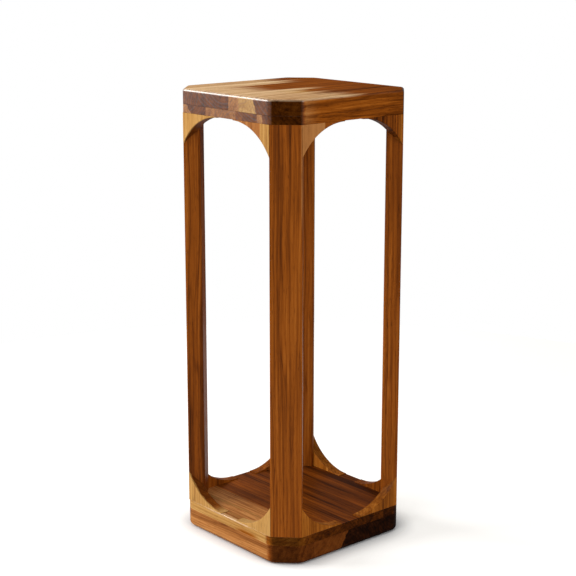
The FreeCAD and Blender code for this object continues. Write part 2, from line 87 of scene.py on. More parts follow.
class Value:
    """A socket of a tree of nodes. Sums on it add Math nodes."""

    def __init__(self, nodes, socket):
        self.nodes = nodes
        self.socket = socket

    def math(self, operation, *terms):
        return self.nodes.node("ShaderNodeMath", {"operation": operation}, dict(enumerate(terms)))

    def __add__(self, other):
        return self.math("ADD", self, other)

    def __radd__(self, other):
        return self.math("ADD", other, self)

    def __sub__(self, other):
        return self.math("SUBTRACT", self, other)

    def __rsub__(self, other):
        return self.math("SUBTRACT", other, self)

    def __mul__(self, other):
        return self.math("MULTIPLY", self, other)

    def __rmul__(self, other):
        return self.math("MULTIPLY", other, self)

    def __truediv__(self, other):
        return self.math("DIVIDE", self, other)

    def __abs__(self):
        return self.math("ABSOLUTE", self)

    def whole(self):
        return self.math("FLOOR", self)

    def part(self):
        return self.math("FRACT", self)

    def most(self, other):
        return self.math("MAXIMUM", self, other)

    def rise(self, low, high):
        """Gives 0 below low and 1 above high, with a smooth rise between them."""
        sockets = {"Value": self, "From Min": low, "From Max": high}
        return self.nodes.node("ShaderNodeMapRange", {"interpolation_type": "SMOOTHSTEP"}, sockets)

    def beside(self, output):
        """Gives another output of the same node."""
        return Value(self.nodes, self.socket.node.outputs[output])


NOISE_MIDDLE = 0.5


@dataclass
class Pattern:
    """How fine a pattern is: its changes in a metre across the grain and along it, and its detail."""

    across: float
    along: float
    detail: float


class Nodes:
    """A tree of nodes that is built from the script."""

    def __init__(self, tree):
        self.tree = tree
        tree.nodes.clear()

    def node(self, kind, settings=None, sockets=None, output=0):
        """Adds a node, with its settings first and then its sockets, and gives one of its outputs."""
        node = self.tree.nodes.new(kind)
        for name, setting in (settings or {}).items():
            if name == "stops":
                self.set_stops(node.color_ramp, setting)
            else:
                setattr(node, name, setting)
        for name, value in (sockets or {}).items():
            self.set_socket(node.inputs[name], value)
        return Value(self, node.outputs[output]) if node.outputs else None

    def set_stops(self, ramp, stops):
        while len(ramp.elements) < len(stops):
            ramp.elements.new(1.0)
        for element, (share, colour) in zip(ramp.elements, stops):
            element.position = share
            element.color = colour

    def set_socket(self, socket, value):
        """Sets a socket to a number, vector or colour, or links a value to it, or each value in a list."""
        if isinstance(value, list):
            for link in value:
                self.set_socket(socket, link)
        elif isinstance(value, Value):
            self.tree.links.new(value.socket, socket)
        else:
            socket.default_value = value

    def vector(self, operation, first, second, output=0):
        return self.node("ShaderNodeVectorMath", {"operation": operation}, {0: first, 1: second}, output)

    def noise(self, place, pattern, output="Fac"):
        stretched = self.vector("MULTIPLY", place, (pattern.across, pattern.across, pattern.along))
        sockets = {"Vector": stretched, "Scale": 1.0, "Detail": pattern.detail}
        return self.node("ShaderNodeTexNoise", None, sockets, output)

    def swing(self, place, pattern):
        """Gives noise that swings about 0."""
        return self.noise(place, pattern) - NOISE_MIDDLE


# A Mix node names its sockets alike for numbers, vectors and colours, so the ones for colours go by number.
MIX_FACTOR = 0
MIX_FIRST = 6
MIX_SECOND = 7
MIX_OUTPUT = 2


class Finish(Nodes):
    """The nodes of one material, or of the world."""

    def __init__(self, owner):
        owner.use_nodes = True
        self.owner = owner
        super().__init__(owner.node_tree)

    def coordinates(self, sort="Object"):
        return self.node("ShaderNodeTexCoord", output=sort)

    def mix(self, factor, first, second, blend="MIX"):
        settings = {"data_type": "RGBA", "blend_type": blend, "clamp_factor": True}
        sockets = {MIX_FACTOR: factor, MIX_FIRST: first, MIX_SECOND: second}
        return self.node("ShaderNodeMix", settings, sockets, MIX_OUTPUT)

    def ramp(self, factor, stops):
        return self.node("ShaderNodeValToRGB", {"stops": stops}, {"Fac": factor})

    def scaled(self, colour, share):
        return self.node("ShaderNodeVectorMath", {"operation": "SCALE"}, {0: colour, "Scale": share})

    def bump(self, height, depth, strength):
        sockets = {"Strength": strength, "Distance": depth, "Height": height}
        return self.node("ShaderNodeBump", None, sockets)

    def surface(self, sockets):
        self.output(self.node("ShaderNodeBsdfPrincipled", None, sockets))
        return self.owner

    def output(self, shader):
        world = isinstance(self.owner, bpy.types.World)
        kind = "ShaderNodeOutputWorld" if world else "ShaderNodeOutputMaterial"
        self.node(kind, None, {"Surface": shader})


STREAK_STOPS = (0.05, 0.38, 0.62, 0.95)


@dataclass
class Wood:
    """A wood from its darkest streak to its palest, and the share of its light that cut fibres keep."""

    streaks: tuple
    cut_share: float

    def stops(self):
        return [(stop, paint(*streak)) for stop, streak in zip(STREAK_STOPS, self.streaks)]


WOODS = {
    "dark": Wood(((14, 6, 2), (32, 13, 4), (56, 25, 8), (88, 44, 16)), 0.30),
    "brown": Wood(((60, 26, 6), (114, 56, 12), (149, 78, 19), (184, 108, 38)), 0.22),
    "orange": Wood(((84, 41, 10), (138, 75, 18), (168, 98, 30), (196, 130, 56)), 0.28),
    "russet": Wood(((104, 50, 16), (134, 69, 23), (154, 82, 29), (176, 102, 42)), 0.28),
    "tan": Wood(((108, 60, 26), (156, 97, 48), (188, 127, 70), (212, 160, 98)), 0.50),
    "straw": Wood(((138, 90, 42), (175, 127, 66), (198, 152, 88), (215, 177, 116)), 0.66),
    # A pale, greyed honey wood, used only for painted sheen on the top's face and a painted highlight along
    # the shelf's edge.
    "honey_sheen": Wood(((146, 98, 60), (192, 147, 100), (226, 189, 143), (243, 216, 175)), 0.66),
}

# Half the soft width of a border between two woods, and how far it strays.
SOFT = 0.7 * MM
STRAY = 6 * MM


@dataclass
class Plane:
    """A border inside a piece: a point on it, the way to the side that counts, and half its soft width.

    The border strays from the plane with the bands of the wood, by up to half of stray.
    """

    place: tuple
    way: tuple
    soft: float = SOFT
    stray: float = STRAY

    def other_side(self):
        """Gives the same border with its other side as the one that counts."""
        return Plane(self.place, tuple(-step for step in self.way), self.soft, self.stray)


def side_border(way):
    """Gives the function that makes a border square to an axis, with the side that lies one way of it."""

    def border(place, soft=SOFT, stray=STRAY):
        return Plane(tuple(place * abs(step) for step in way), way, soft, stray)

    return border


left_of = side_border((-1, 0, 0))
right_of = side_border((1, 0, 0))
in_front_of = side_border((0, -1, 0))
behind = side_border((0, 1, 0))
above = side_border((0, 0, 1))
below = side_border((0, 0, -1))


class Patch:
    """Another wood inside a piece, on the sides of its planes that count."""

    def __init__(self, wood, *planes):
        self.wood = wood
        self.planes = planes


@dataclass
class Lacquer:
    """The finish of a piece: its gloss, how far its cut fibres darken, and where it shines more."""

    gloss: float
    cut_depth: float = 1.0
    end_shine: float = 0.0
    rim_shine: float = 0.0
    corner_shine: float = 0.0


# The finishes of the top, of the shelf, of the base, of the legs and of the brackets.
POLISHED = Lacquer(0.0, end_shine=0.9, rim_shine=0.9, corner_shine=0.9)
WAXED = Lacquer(0.015, rim_shine=0.9)
OILED = Lacquer(0.015)
SATIN = Lacquer(0.05)
SANDED = Lacquer(0.03, cut_depth=0.45)


@dataclass
class Timber:
    """How one piece was cut: its wood, the way of its grain, and how it was finished.

    Heart is where the middle of the piece lay from the heart of the log, across the grain. Ring is the
    width of a year. Tone makes the wood paler, figure makes its streaks stronger, and tilt turns the
    grain, in degrees.
    """

    wood: str
    grain: str
    lacquer: Lacquer
    heart: tuple = (0.020, 0.035)
    ring: float = 0.0045
    tone: float = 0.0
    figure: float = 1.0
    tilt: float = 0.0
    patches: list = field(default_factory=list)


# Turns that lay the grain of a piece along Z. A leg's cross-section stands at 45 degrees as well.
GRAIN_TURNS = {
    "x": Euler((0, math.radians(-90), 0)),
    "y": Euler((math.radians(90), 0, 0)),
    "z": Euler((0, 0, 0)),
    "leg": Euler((0, 0, math.radians(45))),
}
# How far along the log one piece's figure starts from the next one's.
SEED_RUN = 0.731


def grain_turn(timber):
    """Gives the turn that lays the grain of a piece along Z."""
    tilt = Euler((math.radians(timber.tilt), 0, 0)).to_matrix()
    return tilt @ GRAIN_TURNS[timber.grain].to_matrix()


def log_place(finish, name, timber, seed):
    """Gives each spot's place in the log that the piece was cut from, with the log's heart along Z."""
    low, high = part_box(name)
    turn = grain_turn(timber)
    shift = turn @ ((low + high) / -2) + Vector((*timber.heart, SEED_RUN * seed))
    sockets = {"Vector": finish.coordinates(), "Rotation": turn.to_euler(), "Location": shift}
    return finish.node("ShaderNodeMapping", None, sockets)


# The share of a year's growth where its late wood starts to darken, and where it ends.
LATE_START = 0.25
LATE_END = 0.92
# How far the years differ in depth of colour.
YEAR_SPREAD = 0.75


def growth_rings(finish, place, timber, seed):
    """Gives the depth of each year's dark late wood."""
    spread = finish.vector("MULTIPLY", place, (1, 1, 0))
    radius = finish.node("ShaderNodeVectorMath", {"operation": "LENGTH"}, {0: spread}, "Value")
    years = radius / timber.ring
    year = finish.node("ShaderNodeTexWhiteNoise", {"noise_dimensions": "1D"}, {"W": years.whole() + seed})
    late = years.part().rise(LATE_START, LATE_END) - years.part().rise(LATE_END, 1.0)
    return late * (1 - YEAR_SPREAD + YEAR_SPREAD * year)


# The patterns of the figure, and how far the log sways.
SWAY = Pattern(16, 3.0, 2.0)
SWAY_WIDTH = 0.018
BROAD = Pattern(34, 1.4, 2.0)
BAND = Pattern(140, 1.8, 2.0)
FIBRE = Pattern(620, 7, 3.0)
FLECK = Pattern(260, 14, 2.0)
VEIN = Pattern(90, 2.6, 1.0)
VEIN_WIDTH = 0.03
PORE = Pattern(1500, 70, 1.0)
PORE_RISE = (0.60, 0.72)
# The tone of plain wood, from 0 at its darkest streak to 1 at its palest, and what moves it.
MIDDLE_TONE = 0.53
FIGURE_TONE = 0.04
BROAD_TONE = 0.55
BAND_TONE = 0.85
FIBRE_TONE = 0.60
FLECK_TONE = 0.22
RING_TONE = 0.20
VEIN_TONE = 0.14


@dataclass
class Figure:
    """The figure in a piece's solid. Band and fibre swing about 0, and the rest run from about 0 to 1."""

    tone: Value
    rings: Value
    band: Value
    fibre: Value
    pore: Value


def figure_of(finish, name, timber, seed):
    """Gives the figure of a piece: rings that sway along the log, and streaks along the grain."""
    log = log_place(finish, name, timber, seed)
    sockets = {0: finish.noise(log, SWAY, "Color"), 1: (SWAY_WIDTH, SWAY_WIDTH, 0), 2: log}
    swayed = finish.node("ShaderNodeVectorMath", {"operation": "MULTIPLY_ADD"}, sockets)
    rings = growth_rings(finish, swayed, timber, seed)
    broad = finish.swing(swayed, BROAD)
    band = finish.swing(swayed, BAND)
    fibre = finish.swing(swayed, FIBRE)
    fleck = finish.swing(swayed, FLECK)
    vein = 1 - abs(finish.swing(swayed, VEIN)).rise(0.0, VEIN_WIDTH)
    pore = finish.noise(log, PORE).rise(*PORE_RISE)
    streak = BROAD_TONE * broad + BAND_TONE * band + FIBRE_TONE * fibre + FLECK_TONE * fleck
    shade = streak + FIGURE_TONE - RING_TONE * rings - VEIN_TONE * vein
    return Figure(MIDDLE_TONE + timber.tone + timber.figure * shade, rings, band, fibre, pore)


UP = Vector((0, 0, 1))


def look_along(finish, way):
    """Gives how far a surface looks one way: 1 straight along it, 0 to its sides and -1 against it."""
    return finish.vector("DOT_PRODUCT", finish.coordinates("Normal"), way, "Value")


def slope_to_grain(finish, timber):
    """Gives the slope of a surface to the grain: 0 along it and 1 across it."""
    return abs(look_along(finish, grain_turn(timber).transposed() @ UP))


# The slopes to the grain over which a cut darkens the wood and then, near a square end, lets go of a share.
CUT_RISE = (0.12, 0.62)
END_RISE = (0.75, 0.98)
END_SHARE = 0.30


def cut_fibres(lacquer, slope):
    """Gives how far the fibres are cut. They drink more lacquer, most of all on a slanting cut."""
    return lacquer.cut_depth * (slope.rise(*CUT_RISE) - END_SHARE * slope.rise(*END_RISE))


def wood_colour(finish, wood, tone, cut):
    streaks = finish.ramp(tone, WOODS[wood].stops())
    return finish.scaled(streaks, 1 - (1 - WOODS[wood].cut_share) * cut)


def patch_share(finish, planes, band):
    """Gives 1 on the sides of all the planes that count, and 0 past any of them."""
    piece = finish.coordinates()
    shares = []
    for plane in planes:
        from_plane = finish.vector("SUBTRACT", piece, plane.place)
        across = finish.vector("DOT_PRODUCT", from_plane, plane.way, "Value")
        shares.append((across + plane.stray * band).rise(-plane.soft, plane.soft))
    return math.prod(shares[1:], start=shares[0])


# The slopes to the grain of polished ends, and the lacquer there: a share all over, and more on the rings.
POLISH_RISE = (0.78, 0.88)
POLISH_SHARE = 0.7
POLISH_RINGS = 0.6
# How far up a rounded rim looks, at its foot and at its brow, and the share of its shine that a flat keeps.
RIM_FOOT = (0.15, 0.40)
RIM_BROW = (0.80, 0.97)
FLAT_SHARE = 0.08
# The slopes to the grain of a rounded corner, where it starts and where it ends.
CORNER_START = (0.05, 0.30)
CORNER_END = (0.50, 0.68)


def coat_weight(finish, lacquer, slope, rings):
    """Gives the extra lacquer, which is polished on end grain and pools on rounded rims and corners.

    A finish that shines nowhere has none of it, so it gets a plain 0 and no nodes.
    """
    weight = 0.0
    if lacquer.end_shine:
        polish = slope.rise(*POLISH_RISE) * (POLISH_SHARE + POLISH_RINGS * rings)
        weight += lacquer.end_shine * polish
    if lacquer.rim_shine:
        up = look_along(finish, UP)
        rim = up.rise(*RIM_FOOT) - (1 - FLAT_SHARE) * up.rise(*RIM_BROW)
        weight += lacquer.rim_shine * rim
    if lacquer.corner_shine:
        corner = slope.rise(*CORNER_START) - slope.rise(*CORNER_END)
        weight += lacquer.corner_shine * corner
    return weight


PORE_TINT = paint(96, 62, 46)
PORE_SHARE = 0.5
# The roughness of the lacquer, and what the figure adds to it.
LACQUER_ROUGHNESS = 0.38
FIBRE_ROUGHNESS = 0.14
PORE_ROUGHNESS = 0.12
RING_ROUGHNESS = 0.06
COAT_ROUGHNESS = 0.28
# The heights of fibres and rings to the depth of a pore, and that depth.
FIBRE_HEIGHT = 0.4
RING_HEIGHT = 0.2
PORE_DEPTH = 0.10 * MM
GRAIN_STRENGTH = 0.25


def timber_finish(name, timber, seed):
    """Makes the lacquered wood of one piece, figured in the piece's own solid."""
    finish = Finish(bpy.data.materials.new(f"{name}_wood"))
    figure = figure_of(finish, name, timber, seed)
    slope = slope_to_grain(finish, timber)
    cut = cut_fibres(timber.lacquer, slope)
    colour = wood_colour(finish, timber.wood, figure.tone, cut)
    for other in timber.patches:
        share = patch_share(finish, other.planes, figure.band)
        colour = finish.mix(share, colour, wood_colour(finish, other.wood, figure.tone, cut))
    roughness = LACQUER_ROUGHNESS + FIBRE_ROUGHNESS * figure.fibre
    height = FIBRE_HEIGHT * figure.fibre + RING_HEIGHT * figure.rings - figure.pore
    sockets = {
        "Base Color": finish.mix(PORE_SHARE * figure.pore, colour, PORE_TINT, "MULTIPLY"),
        "Roughness": roughness + PORE_ROUGHNESS * figure.pore + RING_ROUGHNESS * figure.rings,
        "Specular IOR Level": timber.lacquer.gloss,
        "Coat Weight": coat_weight(finish, timber.lacquer, slope, figure.rings),
        "Coat Roughness": COAT_ROUGHNESS,
        "Normal": finish.bump(height, PORE_DEPTH, GRAIN_STRENGTH),
    }
    return finish.surface(sockets)


# The pale wedge in the end of the top board, and the tan corner in the end of the plate below it.
BOARD_WEDGE = Plane((0, -0.0555, TOP - 1.5 * MM), (0, 0.909, -0.4175))
PLATE_CORNER = Plane((0, 0.075, PLATE_FOOT + 5.5 * MM), (0, 0.8, -0.6))
# The dark side of the base.
BASE_DARK = Plane((-0.0035, 0, BASE_TOP), (0.853, 0, -0.522))
# The wood within a few millimetres of the shelf's and the base's near corner cut.
NEAR_CORNER = Plane((-0.100, -0.100, 0), (-math.sqrt(0.5), -math.sqrt(0.5), 0), 2 * MM)
# The brown wood behind the left brackets' pale outer skin, which darkens the undersides of their arches:
# partly a darker wood, partly painted shade where they face down.
UNDER_SKIN_AND_SHADE = right_of(LEFT + 1.5 * MM)
# The top's upper skin, which fades out downwards, where the painted sheen lies.
SHEEN_DEPTH = 1.8 * MM
SHEEN_SKIN = above(TOP - SHEEN_DEPTH, SHEEN_DEPTH, 0)
# A line of tan sapwood on the near leg along the upper part of its right-hand arris, which is also a
# painted highlight on that edge.
ARRIS_SAP_AND_HIGHLIGHT = Patch(
    "tan",
    right_of(-0.0893, 0.4 * MM, 0),
    in_front_of(FRONT + 1.5 * MM, 0.6 * MM, 0),
    above(0.470, 0.030),
)
# How softly the painted sheen of pale wood on the top's face ends, and how far its streaks run.
SHEEN_SOFT = 0.030
SHEEN_STRAY = 0.10
# Painted sheen: tan wood that fades out from the top's near corner along its front face.
SHEEN_HAZE = Patch("tan", left_of(-0.082, 0.026), right_of(-0.084, 2 * MM))


def painted_sheen_to(x):
    """Gives the painted sheen on the top's face: pale wood from its left end to about x, in streaks."""
    return Patch("honey_sheen", left_of(x, SHEEN_SOFT, SHEEN_STRAY), SHEEN_SKIN)


# Some patches below paint light and shade: sheen on the top's face and the front near its corner, a
# highlight along the shelf's edge and in part along the near leg's arris, and in part shade under the left
# brackets' arches.
TIMBERS = {
    "top_stave_1": Timber(
        "brown",
        "x",
        POLISHED,
        heart=(0.045, 0.020),
        ring=0.006,
        tone=0.01,
        tilt=4,
        patches=[SHEEN_HAZE, painted_sheen_to(-0.006), Patch("straw", BOARD_WEDGE)],
    ),
    "top_stave_2": Timber(
        "straw",
        "x",
        POLISHED,
        heart=(0.030, -0.030),
        patches=[Patch("brown", right_of(-0.020, 0.020)), painted_sheen_to(-0.045)],
    ),
    "top_stave_3": Timber(
        "tan",
        "x",
        POLISHED,
        heart=(-0.040, 0.020),
        patches=[Patch("brown", right_of(0.010, 0.030)), painted_sheen_to(0.010)],
    ),
    "top_stave_4": Timber(
        "brown", "x", POLISHED, heart=(0.030, 0.010), tone=-0.04, patches=[painted_sheen_to(-0.055)]
    ),
    "top_stave_5": Timber(
        "brown", "x", POLISHED, heart=(-0.020, 0.045), tone=-0.04, patches=[painted_sheen_to(0.045)]
    ),
    "top_plate_stave_1": Timber(
        "brown", "x", POLISHED, tone=-0.03, tilt=4, patches=[SHEEN_HAZE, Patch("tan", behind(-0.074))]
    ),
    "top_plate_stave_2": Timber("brown", "x", POLISHED, heart=(0.030, 0.010), tone=0.06),
    "top_plate_stave_3": Timber("tan", "x", POLISHED, heart=(-0.030, 0.020), tone=-0.12),
    "top_plate_stave_4": Timber(
        "brown", "x", POLISHED, heart=(0.030, -0.030), patches=[Patch("tan", PLATE_CORNER)]
    ),
    "shelf_stave_1": Timber(
        "straw",
        "y",
        WAXED,
        heart=(0.030, 0.020),
        tone=-0.04,
        patches=[
            Patch("tan", above(SHELF_TOP - 0.8 * MM), right_of(LEFT + 5.5 * MM, 4 * MM)),
            # Painted highlight: a thin line of pale wood along the shelf's top edge between the brackets.
            Patch(
                "honey_sheen",
                above(SHELF_TOP - 0.4 * MM),
                left_of(LEFT + 4 * MM, 1 * MM),
                in_front_of(0.045, 0.010),
                behind(-0.045, 0.010),
            ),
            Patch(
                "orange",
                in_front_of(-0.020, 0.012),
                behind(-0.058, 0.010),
                below(SHELF_TOP - 7.8 * MM, 3 * MM),
            ),
            Patch("brown", in_front_of(-0.080, 3 * MM)),
            Patch("orange", NEAR_CORNER),
        ],
    ),
    "shelf_stave_2": Timber("brown", "y", WAXED, heart=(0.020, 0.040), tone=-0.20),
    "shelf_stave_3": Timber("brown", "y", WAXED, heart=(-0.030, 0.030), tone=-0.22),
    "shelf_stave_4": Timber("brown", "y", WAXED, heart=(0.020, 0.030), tone=-0.36),
    "base_stave_1": Timber(
        "tan",
        "y",
        OILED,
        heart=(0.050, 0.010),
        ring=0.006,
        tone=-0.08,
        figure=1.3,
        patches=[Patch("russet", in_front_of(-0.095, 3 * MM)), Patch("russet", NEAR_CORNER)],
    ),
    "base_stave_2": Timber(
        "russet", "y", OILED, heart=(0.030, 0.030), tone=0.04, patches=[Patch("dark", BASE_DARK)]
    ),
    "base_stave_3": Timber(
        "dark", "y", OILED, heart=(0.030, -0.030), patches=[Patch("russet", BASE_DARK.other_side())]
    ),
    "base_stave_4": Timber("dark", "y", OILED, heart=(-0.020, 0.030)),
    "leg_front_left": Timber("brown", "leg", SATIN, heart=(0.060, 0.012), patches=[ARRIS_SAP_AND_HIGHLIGHT]),
    "leg_front_right": Timber("brown", "leg", SATIN, heart=(0.030, 0.050), tone=0.04),
    "leg_back_right": Timber("brown", "leg", SATIN, heart=(0.060, -0.020), tone=0.10),
    "leg_back_left": Timber("brown", "leg", SATIN, heart=(0.045, -0.035), tone=-0.03),
    "upper_bracket_front_left": Timber(
        "tan", "z", SANDED, tone=0.06, figure=0.3, patches=[Patch("brown", right_of(-0.050))]
    ),
    "upper_bracket_front_right": Timber(
        "brown", "z", SANDED, heart=(0.030, -0.020), tone=-0.18, patches=[Patch("orange", right_of(0.080))]
    ),
    "upper_bracket_right_front": Timber("orange", "z", SANDED, heart=(0.040, 0.020)),
    "upper_bracket_right_back": Timber("brown", "z", SANDED, heart=(0.040, -0.020)),
    "upper_bracket_back_right": Timber("brown", "z", SANDED, heart=(0.020, 0.040)),
    "upper_bracket_back_left": Timber("orange", "z", SANDED, heart=(-0.020, 0.040)),
    "upper_bracket_left_back": Timber(
        "straw",
        "z",
        SANDED,
        heart=(0.040, 0.030),
        tone=-0.08,
        figure=0.6,
        patches=[Patch("brown", UNDER_SKIN_AND_SHADE)],
    ),
    "upper_bracket_left_front": Timber(
        "tan",
        "z",
        SANDED,
        heart=(0.040, 0.010),
        tone=-0.14,
        figure=0.7,
        patches=[Patch("straw", in_front_of(-0.071))],
    ),
    "lower_bracket_front_left": Timber("orange", "z", SANDED, heart=(0.020, 0.040), tone=0.02),
    "lower_bracket_front_right": Timber("orange", "z", SANDED, heart=(-0.020, 0.030), tone=-0.06),
    "lower_bracket_right_front": Timber("brown", "z", SANDED, heart=(0.040, 0.020)),
    "lower_bracket_right_back": Timber("orange", "z", SANDED, heart=(0.040, -0.020)),
    "lower_bracket_back_right": Timber("brown", "z", SANDED, heart=(0.020, 0.040)),
    "lower_bracket_back_left": Timber("brown", "z", SANDED, heart=(-0.020, 0.040)),
    "lower_bracket_left_back": Timber(
        "straw",
        "z",
        SANDED,
        heart=(0.040, 0.030),
        tone=-0.04,
        figure=0.6,
        patches=[Patch("brown", UNDER_SKIN_AND_SHADE, behind(0.028, 0.012))],
    ),
    "lower_bracket_left_front": Timber("straw", "z", SANDED, heart=(0.040, 0.010), figure=0.35),
}


def give(node, material):
    """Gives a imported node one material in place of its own."""
    node.data.materials.clear()
    node.data.materials.append(material)


def finish_woodwork():
    for number, (name, timber) in enumerate(TIMBERS.items(), start=1):
        give(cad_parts[name], timber_finish(name, timber, number))


BEECH_DARK = paint(190, 142, 92)
BEECH_PALE = paint(228, 190, 142)
BEECH_FIBRE = Pattern(900, 25, 3.0)
BEECH_FIBRE_RISE = (0.3, 0.7)
BEECH_FLECK = Pattern(1400, 260, 1.0)
BEECH_FLECK_RISE = (0.58, 0.68)
BEECH_FLECK_TINT = paint(150, 98, 58)
BEECH_FLECK_SHARE = 0.5
BEECH_ROUGHNESS = 0.62
BEECH_FLECK_ROUGHNESS = 0.1
BEECH_DEPTH = 0.05 * MM
BEECH_STRENGTH = 0.3


def beech_finish():
    """Raw turned beech: pale, with short dark flecks along the dowel."""
    finish = Finish(bpy.data.materials.new("beech"))
    piece = finish.coordinates()
    fibre = finish.noise(piece, BEECH_FIBRE)
    fleck = finish.noise(piece, BEECH_FLECK).rise(*BEECH_FLECK_RISE)
    colour = finish.mix(fibre.rise(*BEECH_FIBRE_RISE), BEECH_DARK, BEECH_PALE)
    sockets = {
        "Base Color": finish.mix(BEECH_FLECK_SHARE * fleck, colour, BEECH_FLECK_TINT),
        "Roughness": BEECH_ROUGHNESS + BEECH_FLECK_ROUGHNESS * fleck,
        "Normal": finish.bump(fibre, BEECH_DEPTH, BEECH_STRENGTH),
    }
    return finish.surface(sockets)


ZINC_DULL = paint(190, 168, 108)
ZINC_BRIGHT = paint(224, 208, 160)
ZINC_CLOUD = Pattern(420, 420, 3.0)
ZINC_CLOUD_RISE = (0.35, 0.65)
ZINC_SCRATCH = Pattern(2600, 300, 2.0)
ZINC_ROUGHNESS = 0.14
ZINC_SCRATCH_ROUGHNESS = 0.3
ZINC_DEPTH = 0.02 * MM
ZINC_STRENGTH = 0.2


def zinc_finish():
    """Yellow zinc plating, clouded and finely scratched."""
    finish = Finish(bpy.data.materials.new("yellow_zinc"))
    piece = finish.coordinates()
    cloud = finish.noise(piece, ZINC_CLOUD)
    scratch = finish.noise(piece, ZINC_SCRATCH)
    sockets = {
        "Base Color": finish.mix(cloud.rise(*ZINC_CLOUD_RISE), ZINC_DULL, ZINC_BRIGHT),
        "Metallic": 1.0,
        "Roughness": ZINC_ROUGHNESS + ZINC_SCRATCH_ROUGHNESS * scratch,
        "Normal": finish.bump(scratch, ZINC_DEPTH, ZINC_STRENGTH),
    }
    return finish.surface(sockets)


DOWELS = ("upper_bracket_dowels", "lower_bracket_dowels", "top_board_dowels", "base_board_dowels")
SCREWS = ("upper_leg_screws", "lower_leg_screws")
PADS = ("felt_pad_front_left", "felt_pad_front_right", "felt_pad_back_right", "felt_pad_back_left")


def finish_fasteners():
    for names, material in ((DOWELS, beech_finish()), (SCREWS, zinc_finish())):
        for name in names:
            give(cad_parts[name], material)


FELT_DARK = paint(70, 54, 42)
FELT_PALE = paint(112, 92, 74)
FELT_MOTTLE = Pattern(700, 700, 3.0)
FELT_MAT = Pattern(3200, 3200, 2.0)
FELT_MOTTLE_SHARE = 0.6
FELT_RISE = (0.35, 0.65)
FELT_ROUGHNESS = 0.9
FELT_MAT_ROUGHNESS = 0.1
FELT_SHEEN = 0.25
FELT_DEPTH = 0.15 * MM
FELT_STRENGTH = 0.8


def felt_finish():
    """Pressed brown felt: mottled, matt and matted."""
    finish = Finish(bpy.data.materials.new("brown_felt"))
    piece = finish.coordinates()
    mat = finish.noise(piece, FELT_MAT)
    mottle = FELT_MOTTLE_SHARE * finish.noise(piece, FELT_MOTTLE) + (1 - FELT_MOTTLE_SHARE) * mat
    sockets = {
        "Base Color": finish.mix(mottle.rise(*FELT_RISE), FELT_DARK, FELT_PALE),
        "Roughness": FELT_ROUGHNESS + FELT_MAT_ROUGHNESS * mat,
        "Sheen Weight": FELT_SHEEN,
        "Normal": finish.bump(mat, FELT_DEPTH, FELT_STRENGTH),
    }
    return finish.surface(sockets)


FELT_PORTS = {
    "Radius": "NodeSocketFloat",
    "Thickness": "NodeSocketFloat",
    "Spread": "NodeSocketFloat",
    "Fuzz Height": "NodeSocketFloat",
    "Fibre Length": "NodeSocketFloat",
    "Fibre Radius": "NodeSocketFloat",
    "Fibre Density": "NodeSocketFloat",
    "Seed": "NodeSocketInt",
    "Felt": "NodeSocketMaterial",
}
PAD_SIDES = 96
PAD_ROWS = 6
FIBRE_SIDES = 4
# How far a fibre leans from straight out, in radians.
FIBRE_LEAN = 0.6
# Faces of the disc that look less up or down than this are its rim.
RIM_LOOK = 0.5


def felt_disc(nodes, port):
    sockets = {
        "Vertices": PAD_SIDES,
        "Side Segments": PAD_ROWS,
        "Radius": port["Radius"],
        "Depth": port["Thickness"],
    }
    return nodes.node("GeometryNodeMeshCylinder", None, sockets, "Mesh")


def upward(nodes, kind):
    """Gives the upward part of a vector that a node reads from the mesh."""
    return nodes.node("ShaderNodeSeparateXYZ", None, {0: nodes.node(kind)}, "Z")


def felt_fuzz(nodes, port, disc, foot):
    """Gives the short fibres round the rim of a disc, at its foot. None reaches below the foot."""
    height = upward(nodes, "GeometryNodeInputPosition") - foot
    look = abs(upward(nodes, "GeometryNodeInputNormal"))
    less = {"operation": "LESS_THAN"}
    low = nodes.node("FunctionNodeCompare", less, {0: height, 1: port["Fuzz Height"]})
    rim = nodes.node("FunctionNodeCompare", less, {0: look, 1: RIM_LOOK})
    both = nodes.node("FunctionNodeBooleanMath", {"operation": "AND"}, {0: low, 1: rim})
    sockets = {"Mesh": disc, "Selection": both, "Density": port["Fibre Density"], "Seed": port["Seed"]}
    points = nodes.node("GeometryNodeDistributePointsOnFaces", None, sockets, "Points")
    sockets = {0: (-FIBRE_LEAN, -FIBRE_LEAN, 0.0), 1: (FIBRE_LEAN, FIBRE_LEAN, 0.0), "Seed": port["Seed"]}
    lean = nodes.node("FunctionNodeRandomValue", {"data_type": "FLOAT_VECTOR"}, sockets)
    sockets = {"Rotation": points.beside("Rotation"), "Rotate By": lean}
    turned = nodes.node("FunctionNodeRotateRotation", {"rotation_space": "LOCAL"}, sockets)
    sockets = {"Vertices": FIBRE_SIDES, "Radius": port["Fibre Radius"], "Depth": port["Fibre Length"]}
    fibre = nodes.node("GeometryNodeMeshCylinder", None, sockets, "Mesh")
    sockets = {"Points": points, "Instance": fibre, "Rotation": turned}
    fuzz = nodes.node("GeometryNodeInstanceOnPoints", None, sockets)
    loose = nodes.node("GeometryNodeRealizeInstances", None, {"Geometry": fuzz})
    lift = nodes.node("ShaderNodeCombineXYZ", None, {"Z": (-1 * height).most(0.0)})
    return nodes.node("GeometryNodeSetPosition", None, {"Geometry": loose, "Offset": lift})


